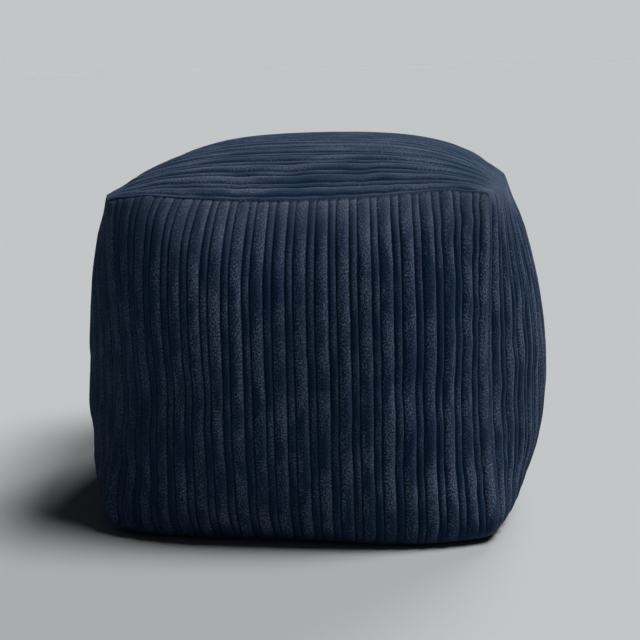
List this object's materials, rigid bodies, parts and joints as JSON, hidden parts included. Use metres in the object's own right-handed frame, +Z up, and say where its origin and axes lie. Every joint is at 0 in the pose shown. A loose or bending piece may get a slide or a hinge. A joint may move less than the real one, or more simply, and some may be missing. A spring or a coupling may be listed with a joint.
{
  "type": "bean bag footstool",
  "caption": "Cube-shaped bean bag footstool in navy jumbo corduroy, with bulging sides, a crowned top and a flat base, used as a footrest or a low seat.",
  "frame": {"origin": "middle of the base on the ground, under the centre of the bounding box", "axes": "+Z up, the front panel faces -Y, and +X is to the right seen from the front"},
  "size_m": [0.4944, 0.483, 0.3855],
  "materials": {
    "jumbo_cord": "navy polyester jumbo corduroy, a wide cord beside a narrow one, with a brushed velvet pile"
  },
  "bodies": {
    "root": {"pouf": "jumbo_cord"}
  },
  "joints": []
}
